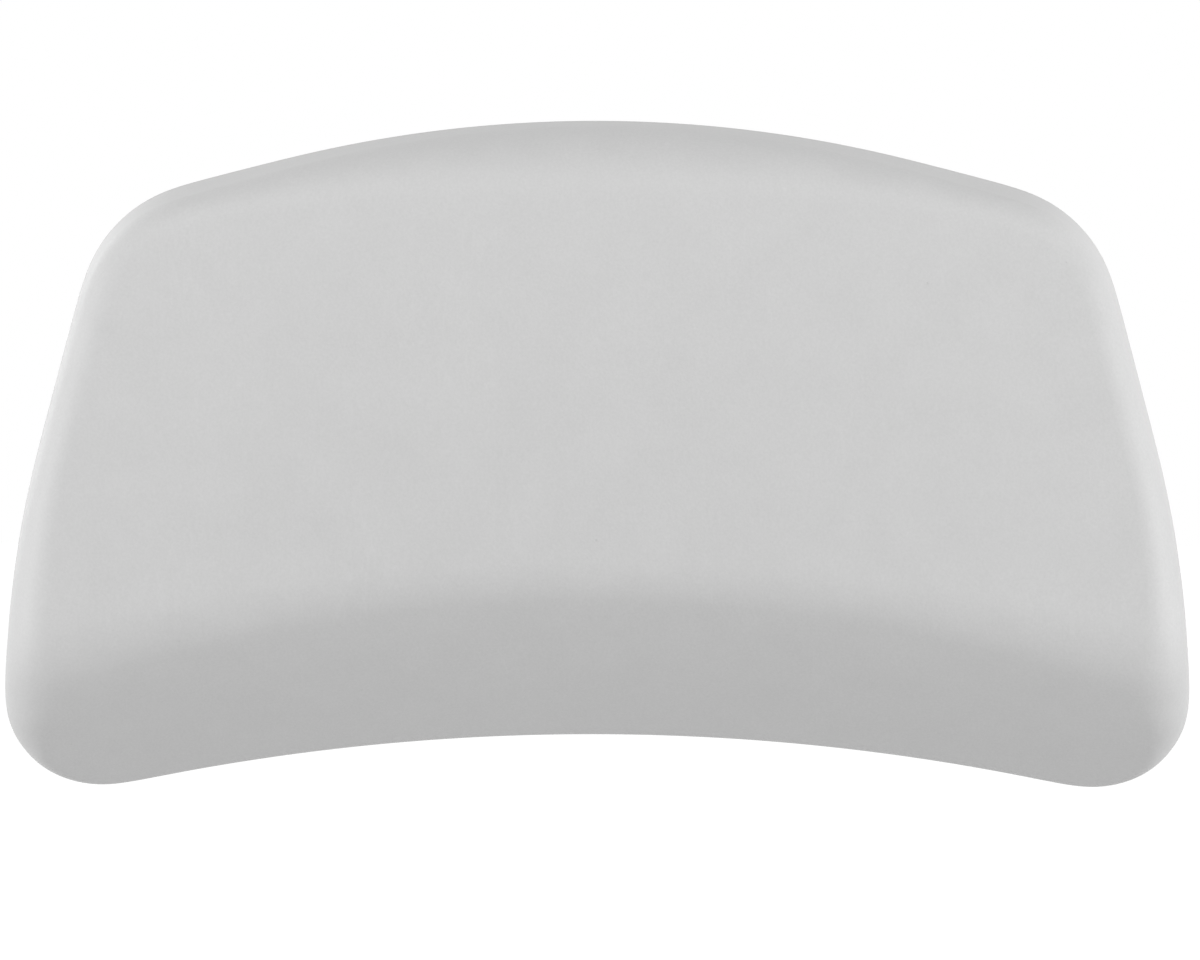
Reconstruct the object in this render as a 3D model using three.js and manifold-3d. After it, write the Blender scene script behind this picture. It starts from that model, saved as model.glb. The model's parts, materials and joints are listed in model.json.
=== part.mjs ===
// Bath pillow: a moulded foam headrest in a smooth skin, held to the bath wall by four suction cups.
// Units are millimetres. The bath wall is the plane y = 0, the bather is towards -Y and +Z is up.
// The origin is in the wall plane, on the centre line, half way up the pillow.
import * as THREE from 'three';
import { mergeVertices } from 'three/addons/utils/BufferGeometryUtils.js';
import Module from 'manifold-3d';

const wasm = await Module();
wasm.setup();

// Outline seen from the front
const width = 320; // between the hips, where the pillow is widest
const centreHeight = 165.3; // from the hollow lower edge up to the crown, on the centre line
const crownRadius = 343; // middle of the upper edge
const flankSlope = THREE.MathUtils.degToRad(14.4); // fall of the straight flanks of the upper edge
const archRadius = 597; // hollow lower edge
const hipRadius = 281; // lower part of each side
const hipRise = 4.2; // widest level, above the middle of the lower edge
const sideTaper = THREE.MathUtils.degToRad(15.3); // lean of the straight upper part of each side
const shoulderRadius = 37.5;
const cornerRadius = 27;

// Thickness from the flat back, and the form of the front
const edgeThickness = 9; // at the lower edge
const crestThickness = 45.5; // where the lip meets the head rest, before the crest is rounded
const topThickness = 28.8; // at the crown
const crestRise = 46; // crest above the lower edge, on the centre line
const crestDroop = 0.15; // share of that by which it is lower at the full width
const crestBlend = 3.2; // softness of the crest, on the centre line
const crestSoften = 1; // share of that by which it is softer at the full width
const lipSwell = 3.3; // roundness of the lip between the lower edge and the crest
const faceCrown = 2.7; // swell of the head rest between the crest and the crown
const wingRise = 6; // how far the upper wings come forward of the middle
const backEdgeRadius = 4;
const wallDraft = THREE.MathUtils.degToRad(6); // lean of the side walls towards the front
const topRollRadius = 23.5;
const sideRollRadius = 8.8;
const hipRollRadius = 13;
const lowerRollRadius = 5;
const sideRollSpan = [0, 0.45]; // how far an edge faces sideways while its roll changes from top to side
const hipRollSpan = [-0.3, 0]; // how far it faces down while its roll changes from side to hip
const lowerRollSpan = [0.55, 1]; // how far it faces down while its roll changes from hip to lower

// Skin, and the opening in its back
const skinThickness = 1.5;
const flangeWidth = 16; // skin turned in round the back

// Stiffening plate in the back
const plateThickness = 2.5;
const tongueWidth = 8; // plate edge held behind the skin
const ribThickness = 1.8;
const ribHeight = 5;
const anchorRadius = 2.5; // holes in the tongue that the foam keys through
const anchorCount = 8;

// Seat and socket of each suction cup
const seatRadius = 22;
const seatDepth = 5;
const seatMargin = 3; // between a seat and the edge of the plate
const bossRadius = 10;
const bossWall = 1.8;
const capThickness = 1.8;
const capSpigot = 1.5;

// Suction cup
const cupStandoff = 5; // relaxed lip in front of the pillow's back, where the bath wall is
const lipRadius = 19;
const lipWidth = 2.5; // flat sealing face
const lipThickness = 1;
const hubRadius = 7.5;
const hubThickness = 3.5;
const neckRadius = 4;
const headRadius = 6.2;
const headRim = 1;
const headLength = 4.5;
const headTipRadius = 3;
const tabReach = 7; // pull tab beyond the lip
const tabWidth = 9;
const bellFullness = 0.62; // how square the hollow of the bell is
const bellShoulder = 0.72; // how square its outside is

const fitGap = 0.3; // between pieces that seat on each other
const turnGap = 0.3; // round the neck, which turns in its hole
const headRoom = 0.7; // behind the head, in its socket

// Facets
const roundSteps = 28;
const anchorSteps = 10;
const crownSteps = 4;
const flankSteps = 1;
const shoulderSteps = 4;
const sideSteps = 1;
const hipSteps = 2;
const cornerSteps = 5;
const outerBackSteps = 2;
const outerRollSteps = 3;
const innerBackSteps = 1;
const innerRollSteps = 2;
const faceShares = [0.5]; // rings between the roll and the crest
const crestNear = 3; // distances from the crest of the rings beside it
const crestFar = 8;
const crestInset = 32; // the crest line stops this far from the widest point

const polar = (centre, radius, angle) => ({
  x: centre.x + radius * Math.cos(angle),
  z: centre.z + radius * Math.sin(angle),
});
const angleTo = (from, to) => Math.atan2(to.z - from.z, to.x - from.x);

// Circles of the outline, with z from the middle of the lower edge
const crownCentre = { x: 0, z: centreHeight - crownRadius };
const archCentre = { x: 0, z: -archRadius };
const hipCentre = { x: width / 2 - hipRadius, z: hipRise };

// Centre of a circle that touches the straight flank of the crown and the tapered side from inside.
function shoulderCentre(radius) {
  const flank = { x: Math.sin(flankSlope), z: Math.cos(flankSlope) };
  const side = { x: Math.cos(sideTaper), z: Math.sin(sideTaper) };
  const flankReach = crownCentre.x * flank.x + crownCentre.z * flank.z + crownRadius - radius;
  const sideReach = hipCentre.x * side.x + hipCentre.z * side.z + hipRadius - radius;
  const cross = flank.x * side.z - flank.z * side.x;
  return {
    x: (flankReach * side.z - sideReach * flank.z) / cross,
    z: (sideReach * flank.x - flankReach * side.x) / cross,
  };
}

// Centre of a circle that touches the hip from inside and the hollow lower edge from above.
function cornerCentre(radius) {
  const toHip = hipRadius - radius;
  const toArch = archRadius + radius;
  const apart = Math.hypot(hipCentre.x - archCentre.x, hipCentre.z - archCentre.z);
  const turn = Math.acos((toArch ** 2 + apart ** 2 - toHip ** 2) / (2 * toArch * apart));
  return polar(archCentre, toArch, angleTo(archCentre, hipCentre) - turn);
}

// Stations along an arc: places on the outline, each with the outward direction there.
function arcStations(centre, radius, from, to, steps, outward = 1) {
  return Array.from({ length: steps + 1 }, (_, i) => {
    const angle = from + ((to - from) * i) / steps;
    const nx = outward * Math.cos(angle);
    const nz = outward * Math.sin(angle);
    return { ...polar(centre, radius, angle), nx, nz };
  });
}

// Stations along a straight line that faces the way of an angle.
function lineStations(from, to, angle, steps) {
  return Array.from({ length: steps + 1 }, (_, i) => ({
    x: THREE.MathUtils.lerp(from.x, to.x, i / steps),
    z: THREE.MathUtils.lerp(from.z, to.z, i / steps),
    nx: Math.cos(angle),
    nz: Math.sin(angle),
  }));
}

// The right half runs clockwise from the crown to the middle of the lower edge. Each station's share
// is its place on the crest line: 0 in the middle and 1 at the end, where all of the hip and corner meet.
function outlineStations() {
  const shoulder = shoulderCentre(shoulderRadius);
  const corner = cornerCentre(cornerRadius);
  const flank = Math.PI / 2 - flankSlope;
  const hipEnd = angleTo(hipCentre, corner);
  const cornerEnd = angleTo(corner, archCentre);
  const flankTop = polar(crownCentre, crownRadius, flank);
  const flankFoot = polar(shoulder, shoulderRadius, flank);
  const sideTop = polar(shoulder, shoulderRadius, sideTaper);
  const sideFoot = polar(hipCentre, hipRadius, sideTaper);
  const upperSteps = crownSteps + flankSteps + shoulderSteps + sideSteps;
  const upper = [
    ...arcStations(crownCentre, crownRadius, Math.PI / 2, flank, crownSteps),
    ...lineStations(flankTop, flankFoot, flank, flankSteps).slice(1),
    ...arcStations(shoulder, shoulderRadius, flank, sideTaper, shoulderSteps).slice(1),
    ...lineStations(sideTop, sideFoot, sideTaper, sideSteps).slice(1),
  ].map((station, i) => ({ ...station, share: i / upperSteps }));
  const end = [
    ...arcStations(hipCentre, hipRadius, sideTaper, hipEnd, hipSteps).slice(1),
    ...arcStations(corner, cornerRadius, hipEnd, cornerEnd, cornerSteps).slice(1, -1),
  ].map((station) => ({ ...station, share: 1 }));
  const archStart = angleTo(archCentre, corner);
  const lower = arcStations(archCentre, archRadius, archStart, Math.PI / 2, upperSteps, -1).map(
    (station, i) => ({ ...station, share: 1 - i / upperSteps }),
  );
  const right = [...upper, ...end, ...lower];
  const left = right
    .slice(1, -1)
    .reverse()
    .map((station) => ({
      ...station,
      x: -station.x,
      nx: -station.nx,
      share: -station.share,
    }));
  return [...right, ...left];
}

const stations = outlineStations();
const lowestZ = cornerCentre(cornerRadius).z - cornerRadius;
const midHeight = (centreHeight + lowestZ) / 2;

// Share of the half width, squared, and the height of the crest above the lower edge there.
const outShare = (x) => ((2 * x) / width) ** 2;
const crestAt = (x) => crestRise * (1 - crestDroop * outShare(x));

// Point of the crest line, at a share of its half length.
function crestPoint(share) {
  const radius = archRadius + crestRise;
  const angle = Math.PI / 2 - share * Math.asin((width / 2 - crestInset) / radius);
  return polar(archCentre, archRadius + crestAt(radius * Math.cos(angle)), angle);
}

// The smaller of two heights, with the corner between them rounded off.
function softMin(a, b, softness) {
  const overlap = Math.max(softness - Math.abs(a - b), 0);
  return Math.min(a, b) - overlap ** 2 / (4 * softness);
}

// Height of the front above the flat back: the lip climbs from the lower edge to the crest, and the
// head rest falls away from the crest to the crown, with wings that come forward.
function frontHeight(x, z) {
  const rise = Math.hypot(x - archCentre.x, z - archCentre.z) - archRadius;
  const climb = rise / crestAt(x);
  const bulge = 4 * lipSwell * Math.min(climb, 1) * (1 - climb);
  const lip = THREE.MathUtils.lerp(edgeThickness, crestThickness, climb) + bulge;
  const run = (rise - crestAt(x)) / (centreHeight - crestAt(x));
  const chord = THREE.MathUtils.lerp(crestThickness, topThickness, run);
  const swell = 4 * faceCrown * run * (1 - run);
  const wings = wingRise * run * outShare(x);
  return softMin(lip, chord + swell + wings, crestBlend * (1 + crestSoften * outShare(x)));
}

// The same front moved in, square to itself, by an inset.
function insetHeight(x, z, inset) {
  const step = 0.01;
  const slopeX = (frontHeight(x + step, z) - frontHeight(x - step, z)) / (2 * step);
  const slopeZ = (frontHeight(x, z + step) - frontHeight(x, z - step)) / (2 * step);
  return frontHeight(x, z) - inset * Math.hypot(1, slopeX, slopeZ);
}

// Roll between the wall and the front: its radius follows the way that the edge faces.
function rollRadius(station) {
  const side = THREE.MathUtils.smoothstep(Math.abs(station.nx), ...sideRollSpan);
  const hip = THREE.MathUtils.smoothstep(-station.nz, ...hipRollSpan);
  const lower = THREE.MathUtils.smoothstep(-station.nz, ...lowerRollSpan);
  const towardsSide = THREE.MathUtils.lerp(topRollRadius, sideRollRadius, side);
  const towardsHip = THREE.MathUtils.lerp(towardsSide, hipRollRadius, hip);
  return THREE.MathUtils.lerp(towardsHip, lowerRollRadius, lower);
}

// Section through the edge at a station, as points (d, h): d inwards from the outline and h above the
// back. It runs round the back edge, up the drafted wall and over the roll, which touches the front.
function edgeSection(station, inset, backSteps, rollSteps) {
  const front = (d) => insetHeight(station.x - d * station.nx, station.z - d * station.nz, inset);
  const backRadius = backEdgeRadius - inset;
  const roll = rollRadius(station) - inset;
  const wallNormal = [-Math.cos(wallDraft), Math.sin(wallDraft)];
  const foot = [
    backEdgeRadius + backRadius * wallNormal[0],
    backEdgeRadius + backRadius * wallNormal[1],
  ];
  const rollCentre = (d) => {
    const step = 0.01;
    const slope = (front(d + step) - front(d - step)) / (2 * step);
    const length = Math.hypot(1, slope);
    const centre = [d + (roll * slope) / length, front(d) - roll / length];
    const depth = -(centre[0] - foot[0]) * wallNormal[0] - (centre[1] - foot[1]) * wallNormal[1];
    return { centre, depth, tilt: Math.atan2(1, -slope) };
  };
  let near = inset;
  let far = inset + 3 * topRollRadius;
  for (let i = 0; i < 50; i += 1) {
    const middle = (near + far) / 2;
    if (rollCentre(middle).depth < roll) near = middle;
    else far = middle;
  }
  const { centre, tilt } = rollCentre(far);
  const sweep = (middle, radius, from, to, count) =>
    Array.from({ length: count + 1 }, (_, i) => {
      const angle = from + ((to - from) * i) / count;
      return [middle[0] + radius * Math.cos(angle), middle[1] + radius * Math.sin(angle)];
    });
  const wallAngle = Math.PI - wallDraft;
  return [
    ...sweep([backEdgeRadius, backEdgeRadius], backRadius, Math.PI * 1.5, wallAngle, backSteps),
    ...sweep(centre, roll, wallAngle, tilt, rollSteps),
  ];
}

const placed = (station, d, h) =>
  new THREE.Vector3(station.x - d * station.nx, -h, station.z - d * station.nz);

// Rings of the pillow's surface at an inset, from the back edge over the front to the crest line.
function pillowRings(inset, backSteps, rollSteps) {
  const spokes = stations.map((station) => {
    const section = edgeSection(station, inset, backSteps, rollSteps);
    const edge = section.map(([d, h]) => placed(station, d, h));
    const last = edge[edge.length - 1];
    const crest = crestPoint(station.share);
    const span = Math.hypot(crest.x - last.x, crest.z - last.z);
    const far = 1 - crestFar / span;
    const shares = [...faceShares.map((share) => share * far), far, 1 - crestNear / span, 1];
    const across = shares.map((share) => {
      const x = THREE.MathUtils.lerp(last.x, crest.x, share);
      const z = THREE.MathUtils.lerp(last.z, crest.z, share);
      return new THREE.Vector3(x, -insetHeight(x, z, inset), z);
    });
    return [...edge, ...across];
  });
  return spokes[0].map((_, ring) => spokes.map((spoke) => spoke[ring]));
}

// Flat ring in the back, at a depth d from the outline and a height h.
const backRing = (d, h) => stations.map((station) => placed(station, d, h));
// The crest line dropped to a height h, where the two halves of a flat back meet.
const crestRing = (h) =>
  stations.map(({ share }) => {
    const crest = crestPoint(share);
    return new THREE.Vector3(crest.x, -h, crest.z);
  });

// Closed surface over a run of rings whose first and last ring fold shut on themselves. It faces out
// when the rings run from the front to the back, and is turned over when they run the other way.
function loft(rings, turnOver = false) {
  const count = rings[0].length;
  const index = [];
  for (let r = 0; r < rings.length - 1; r += 1) {
    for (let i = 0; i < count; i += 1) {
      const a = r * count + i;
      const b = r * count + ((i + 1) % count);
      index.push(a, b, a + count, b, b + count, a + count);
    }
  }
  const geometry = new THREE.BufferGeometry().setFromPoints(rings.flat());
  geometry.setIndex(index);
  const merged = mergeVertices(geometry, 1e-3);
  const kept = [];
  for (let i = 0; i < merged.index.count; i += 3) {
    const corner = [0, 1, 2].map((k) => merged.index.getX(i + k));
    if (turnOver) corner.reverse();
    if (new Set(corner).size === 3) kept.push(...corner);
  }
  merged.setIndex(kept);
  merged.computeVertexNormals();
  return merged;
}

// Solids for joining and cutting, and geometry made from them again.
function solid(geometry) {
  const bare = geometry.clone();
  bare.deleteAttribute('normal');
  bare.deleteAttribute('uv');
  const merged = mergeVertices(bare, 1e-4);
  const vertProperties = new Float32Array(merged.attributes.position.array);
  const triVerts = new Uint32Array(merged.index.array);
  return new wasm.Manifold(new wasm.Mesh({ numProp: 3, vertProperties, triVerts }));
}

function geometryOf(body) {
  const { vertProperties, triVerts } = body.getMesh();
  const geometry = new THREE.BufferGeometry();
  geometry.setAttribute('position', new THREE.BufferAttribute(vertProperties, 3));
  geometry.setIndex(new THREE.BufferAttribute(triVerts, 1));
  geometry.computeVertexNormals();
  return geometry;
}

// A round piece about the wall's normal, from a profile of (radius, height above the back) that runs
// with the solid on its left, placed at a socket.
function turned(profile, at = { x: 0, z: 0 }, steps = roundSteps) {
  const points = profile.map(([radius, h]) => new THREE.Vector2(radius, -h)).reverse();
  return new THREE.LatheGeometry(points, steps).translate(at.x, 0, at.z);
}

const disc = (radius, low, high, at, steps) =>
  turned([[0, low], [radius, low], [radius, high], [0, high]], at, steps);

// The outline drawn in by an inset.
function insetShape(inset) {
  const corners = stations.map(({ x, z, nx, nz }) => new THREE.Vector2(x - inset * nx, z - inset * nz));
  return new THREE.Shape(corners).closePath();
}

// A flat plate between two heights, with its edge at an inset from the outline.
function slab(inset, low, high) {
  const depth = high - low;
  const geometry = new THREE.ExtrudeGeometry(insetShape(inset), { depth, bevelEnabled: false });
  return geometry.rotateX(Math.PI / 2).translate(0, -low, 0);
}

// Heights in the back, above its flat face
const tongueBase = skinThickness + fitGap;
const tongueTop = tongueBase + plateThickness;
const seatBack = seatDepth + plateThickness;
const headBase = seatBack + fitGap;
const headTop = headBase + headLength;
const bossTop = headTop + headRoom + capSpigot;
const capTop = bossTop + fitGap + capThickness;
const panelInset = flangeWidth + fitGap;
const seatOuter = seatRadius + plateThickness;

// Each cup is as far from one edge of its corner as from the other.
const cupInset = panelInset + seatMargin + seatOuter;
const upperSeat = shoulderCentre(cupInset);
const lowerSeat = cornerCentre(cupInset);
const sockets = [
  { name: 'upper_left', x: -upperSeat.x, z: upperSeat.z },
  { name: 'upper_right', x: upperSeat.x, z: upperSeat.z },
  { name: 'lower_right', x: lowerSeat.x, z: lowerSeat.z },
  { name: 'lower_left', x: -lowerSeat.x, z: lowerSeat.z },
];

// Holes along the middle of the tongue that the foam keys through.
const anchors = insetShape(flangeWidth - tongueWidth / 2)
  .getSpacedPoints(anchorCount)
  .slice(1)
  .map(({ x, y }) => ({ x, z: y }));

// Rib behind the plate from one seat to the next, grown all round by a gap.
function rib(from, to, gap) {
  const reach = Math.hypot(to.x - from.x, to.z - from.z) - 2 * (seatOuter - plateThickness / 2);
  const size = [reach + 2 * gap, ribHeight + gap, ribThickness + 2 * gap];
  const geometry = new THREE.BoxGeometry(...size).rotateY(-angleTo(from, to));
  const h = plateThickness - fitGap + size[1] / 2;
  return geometry.translate((from.x + to.x) / 2, -h, (from.z + to.z) / 2);
}

const ribs = (gap) => sockets.map((from, i) => rib(from, sockets[(i + 1) % sockets.length], gap));

// Moulded skin: front, walls and a flange turned in round the back.
function skin() {
  const outer = pillowRings(0, outerBackSteps, outerRollSteps);
  const inner = pillowRings(skinThickness, innerBackSteps, innerRollSteps);
  const outside = [backRing(flangeWidth, 0), ...outer];
  const inside = [backRing(flangeWidth, skinThickness), ...inner];
  return loft([...outside.reverse(), ...inside]);
}

// Foam inside the skin, hollowed for the plate, its ribs and its sockets, and keyed through its holes.
function foamCore() {
  const inset = skinThickness + fitGap;
  const block = loft([crestRing(inset), ...pillowRings(inset, innerBackSteps, innerRollSteps)], true);
  const pocket = slab(flangeWidth - tongueWidth - fitGap, 0, tongueTop + fitGap);
  let core = solid(block).subtract(solid(pocket));
  for (const at of sockets) {
    core = core.subtract(solid(disc(seatOuter + fitGap, 0, seatBack + fitGap, at)));
    core = core.subtract(solid(disc(bossRadius + fitGap, 0, capTop + fitGap, at)));
  }
  for (const slot of ribs(fitGap)) core = core.subtract(solid(slot));
  for (const at of anchors) {
    const key = disc(anchorRadius - fitGap, tongueBase, tongueTop + plateThickness, at, anchorSteps);
    core = core.add(solid(key));
  }
  return geometryOf(core);
}

// Plate in the opening of the skin: a panel flush with the back, a tongue behind the flange, and a
// dished seat with a blind boss for each cup.
function backPlate() {
  let plate = solid(slab(panelInset, 0, plateThickness));
  const tongue = solid(slab(flangeWidth - tongueWidth, tongueBase, tongueTop));
  const window = solid(slab(panelInset + plateThickness, 0, tongueTop + plateThickness));
  plate = plate.add(tongue.subtract(window));
  for (const bar of ribs(0)) plate = plate.add(solid(bar));
  for (const at of sockets) {
    plate = plate.subtract(solid(disc(seatOuter - fitGap, -seatBack, 2 * seatBack, at)));
    const dish = [
      [seatOuter, 0],
      [seatOuter, seatBack],
      [bossRadius, seatBack],
      [bossRadius, bossTop],
      [bossRadius - bossWall, bossTop],
      [bossRadius - bossWall, seatBack],
      [neckRadius + turnGap, seatBack],
      [neckRadius + turnGap, seatDepth],
      [seatRadius - seatDepth / 2, seatDepth],
      [seatRadius, 0],
    ];
    plate = plate.add(solid(turned([...dish, dish[0]], at)));
  }
  for (const at of anchors) {
    const hole = disc(anchorRadius, 0, 2 * tongueTop, at, anchorSteps);
    plate = plate.subtract(solid(hole));
  }
  return geometryOf(plate);
}

// Cap that closes a boss and keeps the foam out of the socket.
function socketCap() {
  const spigotRadius = bossRadius - bossWall - fitGap;
  return turned([
    [0, bossTop + fitGap],
    [spigotRadius - bossWall, bossTop + fitGap],
    [spigotRadius - bossWall, bossTop - capSpigot],
    [spigotRadius, bossTop - capSpigot],
    [spigotRadius, bossTop + fitGap],
    [bossRadius, bossTop + fitGap],
    [bossRadius, capTop],
    [0, capTop],
  ]);
}

// Soft suction cup in one piece: a bell with a flat sealing lip and a pull tab, and a mushroom head
// on a neck that turns in the seat.
function suctionCup() {
  const lip = -cupStandoff;
  const hubTop = seatDepth - fitGap;
  const innerLip = lipRadius - lipWidth;
  const at = (radius, h) => new THREE.Vector2(radius, h);
  const bellDepth = hubTop - hubThickness - lip;
  const inside = new THREE.QuadraticBezierCurve(
    at(0, lip + bellDepth),
    at(innerLip * bellFullness, lip + bellDepth),
    at(innerLip, lip),
  );
  const outside = new THREE.QuadraticBezierCurve(
    at(lipRadius, lip + lipThickness),
    at(innerLip * bellShoulder, hubTop - hubThickness / 2),
    at(hubRadius, hubTop - lipThickness),
  );
  const profile = [
    ...inside.getPoints(5),
    at(lipRadius, lip),
    ...outside.getPoints(5),
    at(hubRadius - lipThickness, hubTop),
    at(neckRadius, hubTop),
    at(neckRadius, headBase),
    at(headRadius, headBase),
    at(headRadius, headBase + headRim),
    at(headTipRadius, headTop),
    at(0, headTop),
  ];
  const bell = solid(turned(profile.map(({ x, y }) => [x, y])));
  const tabShape = new THREE.Shape();
  tabShape.moveTo(-tabWidth / 2, -innerLip - lipWidth / 2);
  tabShape.lineTo(-tabWidth / 2, tabWidth / 2 - lipRadius - tabReach);
  tabShape.absarc(0, tabWidth / 2 - lipRadius - tabReach, tabWidth / 2, Math.PI, Math.PI * 2, false);
  tabShape.lineTo(tabWidth / 2, -innerLip - lipWidth / 2);
  const tab = new THREE.ExtrudeGeometry(tabShape, {
    depth: lipThickness,
    bevelEnabled: false,
    curveSegments: 8,
  });
  tab.rotateX(Math.PI / 2).translate(0, -lip, 0);
  return geometryOf(bell.add(solid(tab)));
}

const skinMaterial = new THREE.MeshStandardMaterial({ color: 0xcbcbcb, roughness: 0.62 });
const foamMaterial = new THREE.MeshStandardMaterial({ color: 0xd9d7d0, roughness: 0.95 });
const plateMaterial = new THREE.MeshStandardMaterial({ color: 0x9c9da0, roughness: 0.5 });
const capMaterial = new THREE.MeshStandardMaterial({ color: 0xe4e3de, roughness: 0.55 });
const cupMaterial = new THREE.MeshStandardMaterial({ color: 0xdfe6ea, roughness: 0.25 });

function piece(name, geometry, material, at = { x: 0, z: 0 }) {
  const mesh = new THREE.Mesh(geometry, material);
  mesh.name = name;
  mesh.position.set(at.x, 0, at.z);
  return mesh;
}

const pillow = new THREE.Group();
pillow.position.set(0, -cupStandoff, -midHeight);
pillow.add(piece('skin', skin(), skinMaterial));
pillow.add(piece('foam_core', foamCore(), foamMaterial));
pillow.add(piece('back_plate', backPlate(), plateMaterial));
for (const socket of sockets) {
  pillow.add(piece(`socket_cap_${socket.name}`, socketCap(), capMaterial, socket));
  pillow.add(piece(`suction_cup_${socket.name}`, suctionCup(), cupMaterial, socket));
}

const part = new THREE.Group();
part.add(pillow);

export default part;
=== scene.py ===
import json
import math

import bmesh
import bpy
import numpy as np
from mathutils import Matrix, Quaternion, Vector


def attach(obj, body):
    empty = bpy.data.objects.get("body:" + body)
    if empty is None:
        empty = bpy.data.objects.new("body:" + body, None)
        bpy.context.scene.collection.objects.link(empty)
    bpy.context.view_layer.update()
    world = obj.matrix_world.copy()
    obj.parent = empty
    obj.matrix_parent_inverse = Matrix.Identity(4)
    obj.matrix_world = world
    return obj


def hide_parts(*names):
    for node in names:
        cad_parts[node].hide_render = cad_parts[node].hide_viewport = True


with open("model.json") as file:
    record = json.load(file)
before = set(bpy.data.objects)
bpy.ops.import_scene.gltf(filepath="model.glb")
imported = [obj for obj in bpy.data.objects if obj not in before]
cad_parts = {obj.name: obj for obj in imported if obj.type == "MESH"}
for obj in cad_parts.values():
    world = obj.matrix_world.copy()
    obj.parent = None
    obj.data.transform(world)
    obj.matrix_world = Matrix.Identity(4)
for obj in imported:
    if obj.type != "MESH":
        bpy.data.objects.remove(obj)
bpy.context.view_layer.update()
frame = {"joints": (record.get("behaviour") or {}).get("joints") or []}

scene = bpy.context.scene

# Metres throughout: x to the right, z up, the bath wall is y = 0 and the head rests on the -y side.
# A form is worked out as (x, height above the flat back, z above the middle of the lower edge), see toFrame.
pillow = dict(
    width=0.320, centreHeight=0.1653,         # hip to hip, and hollow lower edge to crown on the centre line
    crownRadius=0.343,                        # middle of the upper edge
    flankSlope=math.radians(14.4),            # fall of its straight flanks
    archRadius=0.597,                         # hollow lower edge
    hipRadius=0.281, hipRise=0.0042,          # lower sides, widest level above the middle of the lower edge
    sideTaper=math.radians(15.3), shoulderRadius=0.0375, cornerRadius=0.027,
    outlineEase=0.007,                        # length over which one bend passes into the next
    edgeThickness=0.009, crestThickness=0.0455, topThickness=0.0288,
    crestRise=0.046, crestBlend=0.0032,       # crest above the lower edge, and how softly it is rounded
    crestDroop=0.15, crestSoften=1.0,         # shares of these by which its ends are lower and softer
    lipSwell=0.0033, faceCrown=0.0027, wingRise=0.006,
    backEdge=0.004, wallDraft=math.radians(6),
    topRoll=0.0235, sideRoll=0.0088, hipRoll=0.013, lowerRoll=0.005,
    sideReach=0.125,                          # how far out the top's roll has become the side's
    hipSpan=(-0.3, 0.0), lowerSpan=(0.55, 1.0),  # how far an edge faces down while the next roll sets in
    skin=0.0015, flange=0.016, standoff=0.005, fitGap=0.0003,
)
# finer steps round the bends, stations on each side that ease one, and how the edge is solved
solving = dict(shoulderStep=0.7, cornerStep=0.6, easeStations=12, halvings=44, nudge=1e-5)
sharpAngle = math.radians(40)                 # an edge bent by more is shaded as sharp


def polar(centre, radius, angle):
    # centre plus radius times (cosine, sine) of the angle
    return centre[0] + radius * np.cos(angle), centre[1] + radius * np.sin(angle)


def angleTo(a, b):
    # direction from a to b, as the angle whose tangent is rise over run
    return math.atan2(b[1] - a[1], b[0] - a[0])


crownCentre = (0.0, pillow["centreHeight"] - pillow["crownRadius"])
archCentre = (0.0, -pillow["archRadius"])
hipCentre = (pillow["width"] / 2 - pillow["hipRadius"], pillow["hipRise"])


def shoulderCentre(radius):
    # centre of the circle that touches the straight flank of the crown and the tapered side from inside
    flank = (math.sin(pillow["flankSlope"]), math.cos(pillow["flankSlope"]))
    side = (math.cos(pillow["sideTaper"]), math.sin(pillow["sideTaper"]))
    reach = (np.dot(flank, crownCentre) + pillow["crownRadius"] - radius,
             np.dot(side, hipCentre) + pillow["hipRadius"] - radius)
    return tuple(np.linalg.solve([flank, side], reach))


def cornerCentre(radius):
    # centre of the circle that touches the hip from inside and the hollow lower edge from above
    toHip, toArch = pillow["hipRadius"] - radius, pillow["archRadius"] + radius
    apart = math.dist(hipCentre, archCentre)
    turn = math.acos((toArch ** 2 + apart ** 2 - toHip ** 2) / (2 * toArch * apart))
    return polar(archCentre, toArch, angleTo(archCentre, hipCentre) - turn)


midHeight = (pillow["centreHeight"] + cornerCentre(pillow["cornerRadius"])[1] - pillow["cornerRadius"]) / 2


def toFrame(grid):
    # (x, height above the back, z above the lower edge) to the part's own frame
    return np.stack([grid[..., 0], -pillow["standoff"] - grid[..., 1], grid[..., 2] - midHeight], axis=-1)


def arcStations(centre, radius, start, end, step, outward=1):
    # columns x, z, nx, nz along an arc: point = centre + radius * direction, normal = +-direction
    count = max(2, round(abs(end - start) * radius / step))
    a = np.linspace(start, end, count, endpoint=False)
    x, z = polar(centre, radius, a)
    return np.stack([x, z, outward * np.cos(a), outward * np.sin(a)], axis=1)


def lineStations(a, b, angle, step):
    # points evenly spaced from a to b, all with the same normal
    count = max(2, round(math.dist(a, b) / step))
    t = np.linspace(0, 1, count, endpoint=False)[:, None]
    xz = np.array(a) * (1 - t) + np.array(b) * t
    return np.hstack([xz, np.full((count, 1), math.cos(angle)), np.full((count, 1), math.sin(angle))])


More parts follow.
